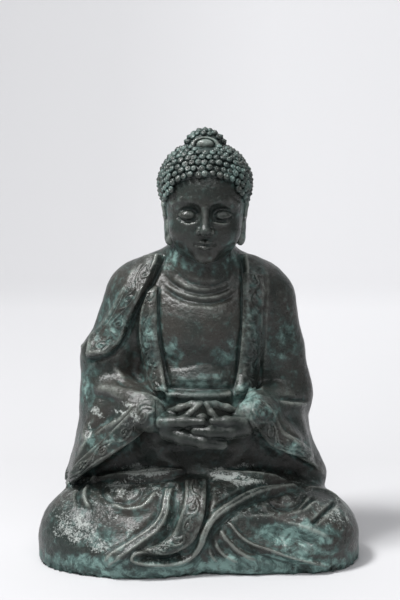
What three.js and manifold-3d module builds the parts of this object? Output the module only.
// Seated buddha, cast in bronze in one with the robe hem that it sits on.
// Millimetres, +Z up, facing -Y. The origin is on the floor under the middle of the figure.
import * as THREE from "three";
import { mergeVertices } from "three/addons/utils/BufferGeometryUtils.js";
import Module from "manifold-3d";

// Driving sizes
const KNEE_X = 107; // middle of each knee, from the middle plane
const KNEE_R = 52; // half width of a knee; both knees together make the figure about 322 wide
const SHOULDER_Z = 254;
const HEAD_X = 6; // the head stands a little to the figure's left
const SKULL_Z = 366;
const SKULL_R = 42;
const KNOT_Z = 404; // middle of the bump on the crown
const HAIR_Z = 372;
const HAIR = [44, 49, 40]; // half sizes of the cap of hair, without its curls
const CURL = 2.4; // height of a curl
const HAND_Z = 138;
const VIEW_TILT = THREE.MathUtils.degToRad(9); // folds are laid out as seen from this far above level
const FAR = 400; // outside the figure from anywhere in it
const FLOOR_ROUND = 2.5; // rounding of the hem where it meets the floor

// Points are [x, y, z]
const sub = (a, b) => [a[0] - b[0], a[1] - b[1], a[2] - b[2]];
const along = (a, d, t) => [a[0] + d[0] * t, a[1] + d[1] * t, a[2] + d[2] * t];
const between = (a, b, t) => along(a, sub(b, a), t);
const vector = (a) => new THREE.Vector3(...a);
const dot = (a, b) => a[0] * b[0] + a[1] * b[1] + a[2] * b[2];
const cross = (a, b) => [
  a[1] * b[2] - a[2] * b[1],
  a[2] * b[0] - a[0] * b[2],
  a[0] * b[1] - a[1] * b[0],
];
const unit = (a) => {
  const l = Math.hypot(...a);
  return [a[0] / l, a[1] / l, a[2] / l];
};
const clamp = THREE.MathUtils.clamp;
const lerp = THREE.MathUtils.lerp;
const smooth = THREE.MathUtils.smoothstep;
const rad = THREE.MathUtils.degToRad;

// Distances to simple bodies, negative inside, and their blends
function blend(a, b, k) {
  const h = clamp(0.5 + (0.5 * (b - a)) / k, 0, 1);
  return lerp(b, a, h) - k * h * (1 - h);
}
const trim = (a, b, k) => -blend(-a, -b, k);
const join = (k, ...all) => all.reduce((a, b) => blend(a, b, k));

function egg(p, c, r) {
  const q = sub(p, c);
  const near = Math.hypot(q[0] / r[0], q[1] / r[1], q[2] / r[2]);
  const slope = Math.hypot(q[0] / r[0] ** 2, q[1] / r[1] ** 2, q[2] / r[2] ** 2);
  return (near * (near - 1)) / (slope + 1e-9);
}

function limb(p, a, b, ra, rb) {
  const ab = sub(b, a);
  const ap = sub(p, a);
  const t = clamp(dot(ap, ab) / dot(ab, ab), 0, 1);
  return Math.hypot(...along(ap, ab, -t)) - lerp(ra, rb, t);
}

const mirrored = (p) => [Math.abs(p[0]), p[1], p[2]];
const below = (p, c, n) => dot(sub(p, c), unit(n));

// The crossed legs under the robe: two knees, the shins across the front, the seat behind
function legs(p) {
  const straight = [p[0], p[1], Math.max(p[2], 22)];
  const q = mirrored(straight);
  return join(
    14,
    egg(straight, [-KNEE_X, -29, 26], [KNEE_R, 60, 47]),
    egg(straight, [KNEE_X, -27, 26], [KNEE_R, 60, 42]),
    egg(q, [KNEE_X + 2, -34, 18], [46, 50, 32]),
    limb(q, [60, 30, 44], [98, -10, 30], 44, 40),
    limb(q, [92, -40, 30], [0, -56, 40], 34, 40),
    egg(straight, [-58, -39, 18], [84, 68, 34]),
    egg(straight, [52, -32, 18], [88, 62, 34]),
    egg(straight, [0, -6, 50], [118, 66, 44]),
    egg(straight, [0, 46, 34], [108, 48, 44]),
    egg(straight, [0, 12, 24], [148, 80, 34]),
  );
}

// Belly, chest, shoulders and both arms down to the wrists
function trunk(p) {
  const q = mirrored(p);
  const torso = join(
    16,
    egg(p, [0, 10, 140], [70, 60, 80]),
    egg(p, [0, 18, 226], [74, 58, 62]),
    limb(q, [8, 20, 262], [58, 20, 252], 36, 34),
    limb(q, [16, 22, 288], [58, 22, 268], 24, 25),
    limb(q, [40, 12, 104], [78, 16, 88], 34, 28),
  );
  const rightArm = join(
    9,
    limb(p, [-65, 18, SHOULDER_Z], [-88, 16, 196], 30, 28),
    limb(p, [-92, 14, 194], [-93, 10, 150], 28, 27),
    limb(p, [-90, 8, 162], [-46, -62, 150], 26, 15),
  );
  const leftArm = join(
    9,
    limb(p, [66, 18, SHOULDER_Z - 2], [76, 16, 204], 32, 29),
    limb(p, [76, 16, 204], [88, 12, 160], 29, 28),
    limb(p, [86, 8, 150], [50, -62, 152], 24, 15),
  );
  const backDrape = egg(p, [0, 32, 140], [108, 50, 114]) - pleats(p);
  const throat = join(12, torso, limb(p, [4, 6, 318], [1, 14, 276], 30, 36));
  const flanks = join(
    10,
    limb(p, [-95, 22, 110], [-108, 16, 72], 28, 28),
    limb(p, [84, 22, 110], [104, 16, 72], 27, 27),
  );
  return join(8, throat, rightArm, leftArm, backDrape, flanks);
}

// The robe falls down the back in a few soft pleats.
function pleats([x, y, z]) {
  const height = smooth(z, 60, 110) * (1 - smooth(z, 190, 245));
  return 3 * Math.cos(x / 9 + z / 60) * smooth(y, 20, 60) * height;
}

// The dark hollow between the sleeves, below the hands
const lapHollow = (p) => egg(p, [2, -72, 111], [66, 46, 25]);

// The hanging sleeves, each cut off along its hem
function rightSleeve(p) {
  const bag = join(
    12,
    limb(p, [-91, 12, 158], [-104, -4, 74], 25, 28),
    limb(p, [-90, 18, 158], [-101, 16, 80], 23, 26),
    limb(p, [-84, -8, 160], [-103, -24, 88], 22, 24),
    limb(p, [-60, -42, 152], [-88, -42, 100], 16, 18),
  );
  return trim(bag, below(p, [-85, -50, 112], [0.55, -0.25, -0.8]), 4);
}

function leftSleeve(p) {
  const bag = join(
    10,
    limb(p, [84, 10, 150], [80, 4, 122], 25, 26),
    limb(p, [80, 4, 122], [96, 0, 70], 26, 30),
    limb(p, [84, 18, 150], [92, 18, 88], 23, 26),
    limb(p, [78, -10, 152], [90, -22, 104], 22, 23),
    limb(p, [58, -48, 152], [84, -42, 118], 16, 18),
  );
  return trim(bag, below(p, [80, -50, 120], [-0.5, -0.25, -0.85]), 4);
}

// Skull and jaw, with plain even features
function face(p) {
  const q = [Math.abs(p[0] - HEAD_X), p[1], p[2]];
  const skull = join(
    12,
    egg(q, [0, 0, SKULL_Z], [SKULL_R, 48, SKULL_R]),
    egg(q, [0, -11, 334], [36, 36, 40]),
  );
  const sockets = egg(q, [16, -49, 346], [13, 5, 7]);
  const hollowed = trim(skull, -sockets, 5);
  const bridge = limb(q, [0, -45, 352], [0, -50, 333], 3.4, 4.4);
  const wings = egg(q, [5, -46, 331], [4, 4, 3.4]);
  const mouth = egg(q, [0, -41.5, 317], [11, 4, 5]);
  const chin = egg(q, [0, -31, 303], [11, 8, 8]);
  const brows = limb(q, [7, -44, 355], [25, -38, 356], 3, 2.5);
  const lids = egg(q, [16, -40, 346], [10, 5, 4.5]);
  return join(4, hollowed, bridge, wings, mouth, chin, brows, lids);
}

// Fold lines are splines through a few points on the sheet that a viewer in front sees, [across, up].
// Each is carried back along the view onto the body.
const VIEW = [0, Math.cos(VIEW_TILT), -Math.sin(VIEW_TILT)];
const UP = [0, Math.sin(VIEW_TILT), Math.cos(VIEW_TILT)];
const FOLD_STEPS = 5; // pieces of line between two of its points

function reach(form, from, direction) {
  let t = 0;
  for (let i = 0; i < 90; i++) t += 0.8 * form(along(from, direction, t));
  return along(from, direction, t);
}

function laid(form, points) {
  const sheet = points.map(([x, v]) => vector([x, v, 0]));
  const curve = new THREE.CatmullRomCurve3(sheet, false, "centripetal");
  return curve.getPoints(FOLD_STEPS * (points.length - 1)).map((c) => {
    const front = [c.x, UP[1] * c.y - VIEW[1] * FAR, UP[2] * c.y - VIEW[2] * FAR];
    return reach(form, front, VIEW);
  });
}

// A roll swells evenly on both sides of its line, or is a groove when its height is negative.
function roll(width, height, ...points) {
  return { width, height, points, span: width, profile: (x) => Math.max(1 - (x / width) ** 2, 0) ** 2 };
}

// An edge stands proud on the left hand of its line as seen from the front, and dies away over its fade.
function edge(width, height, fade, ...points) {
  const profile = (x) => smooth(x, -width / 2, width / 2) * (1 - smooth(x, fade / 4, fade));
  return { width, height, points, span: fade, profile };
}

function withFolds(form, folds) {
  const lines = folds.map((fold) => ({ ...fold, line: laid(form, fold.points) }));
  return (p) => {
    const d = form(p);
    if (Math.abs(d) > 15) return d;
    return d - lines.reduce((sum, fold) => sum + rise(p, fold), 0);
  };
}

function rise(p, { line, span, height, profile, width }) {
  let nearest = span;
  let side = 0;
  let at = 0;
  for (let i = 0; i + 1 < line.length; i++) {
    const ab = sub(line[i + 1], line[i]);
    const ap = sub(p, line[i]);
    const t = clamp(dot(ap, ab) / dot(ab, ab), 0, 1);
    const off = along(ap, ab, -t);
    const distance = Math.hypot(...off);
    if (distance < nearest) {
      nearest = distance;
      side = dot(off, cross(ab, VIEW));
      at = i + t;
    }
  }
  if (nearest >= span) return 0;
  const ends = smooth(at, 0, 1.5) * smooth(line.length - 1 - at, 0, 1.5);
  return height * ends * profile(side < 0 ? -nearest : nearest);
}

const lapFolds = [
  // rolled top edge of the robe over the right shin, and the crease below it
  roll(9, 6, [-97, 76], [-77, 81], [-49, 82], [-13, 84]),
  roll(6, -4, [-97, 71], [-68, 73], [-38, 75], [-14, 79]),
  // sheet over the left shin, with a hem that sweeps up from the middle
  roll(10, 4, [6, 84], [30, 83], [56, 82], [82, 77]),
  edge(9, 7, 26, [-16, 1], [-4, 11], [1, 24], [7, 36], [16, 47], [30, 56], [46, 64], [64, 68], [97, 72]),
  // band hanging down the middle, and its folds
  edge(8, 4, 24, [4, 80], [4, 62], [0, 40], [-6, 25], [-17, 12], [-38, 8], [-52, 9]),
  edge(9, 6, 26, [-26, 74], [-30, 60], [-34, 47], [-39, 35], [-50, 23], [-70, 10], [-94, -4]),
  roll(7, -4, [-24, 68], [-26, 50], [-31, 31], [-42, 18]),
  roll(7, -5, [-62, 4], [-46, 4], [-28, 2], [-10, 9]),
  // folds fanning out from the middle over the left shin
  roll(9, 6, [28, 41], [39, 27], [51, 21], [81, 13], [108, 6], [141, -5]),
  roll(7, 4, [20, 31], [29, 19], [40, 9], [56, 2], [71, -3]),
  roll(18, -8, [61, 30], [84, 26], [108, 20], [128, 14]),
  roll(9, 4, [45, 46], [61, 40], [89, 38], [106, 31], [131, 18]),
  // tucks round each knee
  roll(7, -4, [107, 35], [120, 46], [132, 56]),
  roll(7, 3, [-90, 73], [-87, 63], [-72, 55], [-56, 59], [-45, 72]),
  roll(14, -5, [-97, 20], [-81, 25], [-63, 32]),
];

const trunkFolds = [
  // rings of the throat
  roll(5, -2.6, [-40, 269], [-29, 261], [-5, 251], [21, 252], [40, 265]),
  roll(5, -2.2, [-37, 280], [-26, 269], [-5, 260], [25, 263], [37, 273]),
  // edges of the inner robe down both sides of the bare chest
  edge(6, 6, 30, [-28, 157], [-32, 173], [-38, 201], [-41, 233], [-41, 272], [-37, 286]),
  edge(6, 6, 34, [43, 289], [44, 256], [44, 229], [41, 206], [39, 178], [34, 156]),
  // collar of the outer robe over the right shoulder, and of the inner one on the left
  edge(9, 8, 34, [-111, 196], [-91, 199], [-80, 208], [-73, 220], [-56, 255], [-45, 275], [-40, 286]),
  roll(5, 2.5, [65, 286], [68, 263], [66, 234], [66, 206], [64, 175], [62, 159]),
  // top of the undergarment across the chest, and the roll of the sash
  edge(7, -4, 24, [-37, 185], [-19, 184], [7, 188], [37, 183]),
  roll(8, 5, [-30, 157], [-2, 155], [26, 156]),
];

const sleeveFolds = [
  roll(8, 3.5, [-103, 164], [-78, 163], [-56, 159], [-38, 151]),
  roll(7, 3.5, [-94, 162], [-71, 152], [-68, 146], [-78, 133], [-96, 123], [-110, 118]),
  roll(6, 3, [-110, 135], [-112, 123], [-110, 113], [-119, 98]),
  edge(8, 3, 22, [112, 99], [104, 111], [92, 118], [83, 125], [75, 138], [66, 148], [54, 154]),
];

// Blanks: closed grids of rows and columns, the rows from the top down. Each vertex is pulled in
// to the form, towards its own point on a core line that lies across the figure.
const BODY_COLUMNS = 56;
const SLEEVE_COLUMNS = 18;
const FACE_COLUMNS = 26;

// Columns crowd towards the front, where the carving is.
function azimuth(u, crowd) {
  const turn = 2 * Math.PI * (u - 0.5);
  return turn - crowd * Math.sin(turn) - Math.PI / 2;
}

function wrapped(form, columns, crowd, rows) {
  const blank = new THREE.SphereGeometry(1, columns, rows.length - 1);
  const position = blank.attributes.position;
  for (let k = 0; k < position.count; k++) {
    const row = rows[Math.floor(k / (columns + 1))];
    const turn = azimuth((k % (columns + 1)) / columns, crowd);
    position.setXYZ(k, ...(row.pole ?? pulled(form, row, turn)));
  }
  followForm(blank, form, columns, rows.length - 1);
  return blank;
}

// Split each square of the grid along the diagonal that lies nearer to the form.
function followForm(blank, form, columns, bands) {
  const { index, attributes } = blank;
  const point = (k) => new THREE.Vector3().fromBufferAttribute(attributes.position, k);
  const off = (k, l) => Math.abs(form(point(k).lerp(point(l), 0.5).toArray()));
  const first = 3 * columns;
  for (let k = first; k < first + 6 * columns * (bands - 2); k += 6) {
    const [a, b, d, , c] = index.array.slice(k, k + 6);
    if (off(a, c) < off(b, d)) index.array.set([a, b, c, a, c, d], k);
  }
}

function pulled(form, { middle, half = 0, across = 1, deep = 1, lift = 0 }, turn) {
  const rim = [across * Math.cos(turn), deep * Math.sin(turn)];
  const x = clamp(rim[0], -half, half);
  const level = unit([rim[0] - x, rim[1], 0]);
  const way = [level[0] * Math.cos(lift), level[1] * Math.cos(lift), Math.sin(lift)];
  const core = [middle[0] + x, middle[1], middle[2]];
  return reach(form, along(core, way, FAR), along([0, 0, 0], way, -1));
}

// Numbers from a to b in equal steps, both ends included
const steps = (a, b, count) => Array.from({ length: count }, (_, i) => lerp(a, b, i / (count - 1)));

const onFloor = (form) => (p) => trim(form(p), -p[2], FLOOR_ROUND);
const plainBody = (p) => trim(blend(legs(p), trunk(p), 8), -lapHollow(p), 8);
const bodyForm = onFloor(withFolds(plainBody, [...lapFolds, ...trunkFolds]));

function body() {
  const neck = { across: 1, deep: 1 };
  const chest = { half: 42, across: 118, deep: 70 };
  const lap = { half: 85, across: 160, deep: 100 };
  const widening = (from, to, t) => ({
    half: lerp(from.half ?? 0, to.half ?? 0, t),
    across: lerp(from.across, to.across, t),
    deep: lerp(from.deep, to.deep, t),
  });
  return wrapped(bodyForm, BODY_COLUMNS, 0.58, [
    { pole: [4, 6, 330] },
    ...steps(318, 296, 3).map((z) => ({ ...neck, middle: [2, 12, z] })),
    ...steps(0.2, 1, 4).map((t) => ({
      ...widening(neck, chest, t),
      middle: [0, 14, lerp(290, 238, t)],
      lift: rad(56 * t),
    })),
    ...steps(44, 10, 4).map((e) => ({ ...chest, middle: [0, 14, 238], lift: rad(e) })),
    ...steps(236, 100, 15).map((z) => ({ ...chest, middle: [0, 14, z] })),
    ...steps(0, 1, 4).map((t) => ({
      ...widening(chest, lap, t),
      middle: [0, lerp(12, 0, t), lerp(94, 12, t)],
      lift: rad(52 * t),
    })),
    ...steps(48, 3, 11).map((e) => ({ ...lap, middle: [0, 0, 12], lift: rad(e) })),
    ...steps(8, 0, 2).map((z) => ({ ...lap, middle: [0, 0, z] })),
    { pole: [0, 0, 0] },
  ]);
}

// A rounded piece is wrapped from one middle point.
function pod(form, middle, columns, rows, crowd = 0) {
  const lifts = steps(90, -90, rows + 1).slice(1, -1);
  return wrapped(form, columns, crowd, [
    { pole: reach(form, along(middle, [0, 0, 1], FAR), [0, 0, -1]) },
    ...lifts.map((e) => ({ middle, lift: rad(e) })),
    { pole: reach(form, along(middle, [0, 0, -1], FAR), [0, 0, 1]) },
  ]);
}

const sleeves = () => [
  pod(withFolds(rightSleeve, sleeveFolds), [-94, -10, 112], SLEEVE_COLUMNS, 14, 0.3),
  pod(withFolds(leftSleeve, sleeveFolds), [85, -10, 114], SLEEVE_COLUMNS, 14, 0.3),
];

const headPieces = () => [
  pod(face, [HEAD_X, -6, 344], FACE_COLUMNS, 20, 0.5),
  ...[-1, 1].flatMap(ear),
];

// An ear is a flat rim with a long lobe that hangs below it.
function ear(side) {
  const rim = new THREE.SphereGeometry(1, 8, 6).scale(3.4, 7, 11).rotateX(rad(8));
  rim.translate(HEAD_X + side * (SKULL_R - 1), 2, 352);
  const root = [HEAD_X + side * (SKULL_R - 2), 0, 344];
  const tip = [HEAD_X + side * (SKULL_R - 6), -1, 322];
  return [rim, capsule(root, tip, 3.6, 4.6)];
}

// A tapered finger-like body from one point to another
function capsule(a, b, ra, rb, sides = 6) {
  const length = Math.hypot(...sub(b, a));
  const blank = new THREE.CapsuleGeometry(1, length, 2, sides, 1);
  const position = blank.attributes.position;
  for (let k = 0; k < position.count; k++) {
    const y = position.getY(k);
    const r = lerp(ra, rb, clamp(y / length + 0.5, 0, 1));
    const cap = clamp(y, -length / 2, length / 2);
    position.setXYZ(k, position.getX(k) * r, cap + (y - cap) * r, position.getZ(k) * r);
  }
  const turn = new THREE.Quaternion();
  turn.setFromUnitVectors(vector([0, 1, 0]), vector(unit(sub(b, a))));
  blank.applyQuaternion(turn);
  return blank.translate(...between(a, b, 0.5));
}

function blob(c, r, lean) {
  return new THREE.SphereGeometry(1, 8, 6).scale(...r).rotateY(rad(lean)).translate(...c);
}

// The hands lie one on the other in the lap, palms up, with the thumbs and first fingers
// meeting in two rings.
const hands = () => [
  blob([-34, -66, HAND_Z + 2], [21, 19, 13], 14),
  blob([38, -66, HAND_Z + 6], [18, 19, 13], -14),
  capsule([-40, -72, 150], [-16, -84, 152.5], 5.6, 5),
  capsule([-17, -84, 152.5], [7, -88, 151], 5, 4),
  capsule([46, -72, 149], [28, -84, 151.5], 5.6, 5),
  capsule([29, -84, 151.5], [12, -87, 151], 5, 4.2),
  capsule([40, -76, 140], [16, -86, 142.5], 6.6, 5.8),
  capsule([17, -86, 142.5], [-6, -86, 142], 5.8, 4.6),
  capsule([-34, -74, 138], [-4, -86, 132], 8.4, 6.6),
  capsule([-5, -86, 132], [25, -84, 127], 6.6, 4.8),
  capsule([-36, -62, 156], [-2, -71, 167], 5, 3.8),
  capsule([38, -62, 156], [6, -71, 167], 5, 3.8),
  capsule([-1, -72, 165], [-16, -80, 154], 3.8, 3.8),
  capsule([5, -72, 165], [15, -80, 154], 3.8, 3.8),
];

// Snail curls in rings round a pole: every other point of a grid stands up, and each square between
// four points is split along its low corners, so a curl is a small pyramid.
function curls(columns, rings, place) {
  const points = [place(0, 0, CURL)];
  for (let j = 1; j <= rings; j++) {
    for (let i = 0; i < columns; i++) points.push(place(i / columns, j / rings, (i + j) % 2 ? 0 : CURL));
  }
  points.push(place(0, Infinity, 0));
  const at = (i, j) => 1 + (j - 1) * columns + (i % columns);
  const faces = [];
  for (let i = 0; i < columns; i++) {
    faces.push(0, at(i, 1), at(i + 1, 1));
    faces.push(points.length - 1, at(i + 1, rings), at(i, rings));
    for (let j = 1; j < rings; j++) {
      const [a, b, c, d] = [at(i, j), at(i, j + 1), at(i + 1, j + 1), at(i + 1, j)];
      if ((i + j) % 2) faces.push(a, b, c, a, c, d);
      else faces.push(b, c, d, b, d, a);
    }
  }
  const blank = new THREE.BufferGeometry();
  blank.setAttribute("position", new THREE.Float32BufferAttribute(points.flat(), 3));
  return blank.setIndex(faces);
}

const HAIR_TILT = rad(40); // the hairline drops this steeply from the brow to the nape
const KNOT_R = 20;
const KNOT_Y = 6;
const HAIR_Y = 2;

function hair() {
  const cap = curls(44, 10, (u, v, up) => {
    if (v === Infinity) return [HEAD_X, HAIR_Y, HAIR_Z];
    const polar = rad(114) * v;
    const around = 2 * Math.PI * u;
    const r = HAIR.map((size) => size + up);
    const at = vector([0, 0, 1]).applyAxisAngle(vector([0, 1, 0]), polar);
    at.applyAxisAngle(vector([0, 0, 1]), around).applyAxisAngle(vector([1, 0, 0]), -HAIR_TILT);
    return [HEAD_X + at.x * r[0], at.y * r[1], HAIR_Z + at.z * r[2]];
  });
  const knot = curls(20, 5, (u, v, up) => {
    if (v === Infinity) return [HEAD_X, KNOT_Y, KNOT_Z - KNOT_R / 2];
    const at = vector([0, 0, KNOT_R + up]).applyAxisAngle(vector([0, 1, 0]), rad(110) * v);
    at.applyAxisAngle(vector([0, 0, 1]), 2 * Math.PI * u);
    return [HEAD_X + at.x, KNOT_Y + at.y, KNOT_Z + at.z];
  });
  const jewel = new THREE.SphereGeometry(1, 12, 8).scale(8.5, 4, 4.5).rotateX(rad(35));
  return [cap, knot, jewel.translate(HEAD_X, -13, 411)];
}

// Join every piece into one casting
const wasm = await Module();
wasm.setup();

function solid(geometry) {
  geometry.deleteAttribute("uv");
  geometry.deleteAttribute("normal");
  const merged = mergeVertices(geometry, 1e-4);
  return new wasm.Manifold(
    new wasm.Mesh({
      numProp: 3,
      vertProperties: merged.attributes.position.array,
      triVerts: new Uint32Array(merged.index.array),
    }),
  );
}

function cast(pieces) {
  const whole = pieces.map(solid).reduce((joined, piece) => joined.add(piece));
  const { vertProperties, triVerts } = whole.getMesh();
  const geometry = new THREE.BufferGeometry();
  geometry.setAttribute("position", new THREE.BufferAttribute(vertProperties, 3));
  geometry.setIndex(new THREE.BufferAttribute(triVerts, 1));
  return geometry;
}

const bronze = new THREE.MeshStandardMaterial({ color: 0x3b3f3a, roughness: 0.42, metalness: 0.7 });

const figure = new THREE.Mesh(cast([body(), ...sleeves(), ...headPieces(), ...hair(), ...hands()]), bronze);
figure.name = "buddha_figure";

const group = new THREE.Group();
group.add(figure);

export default group;
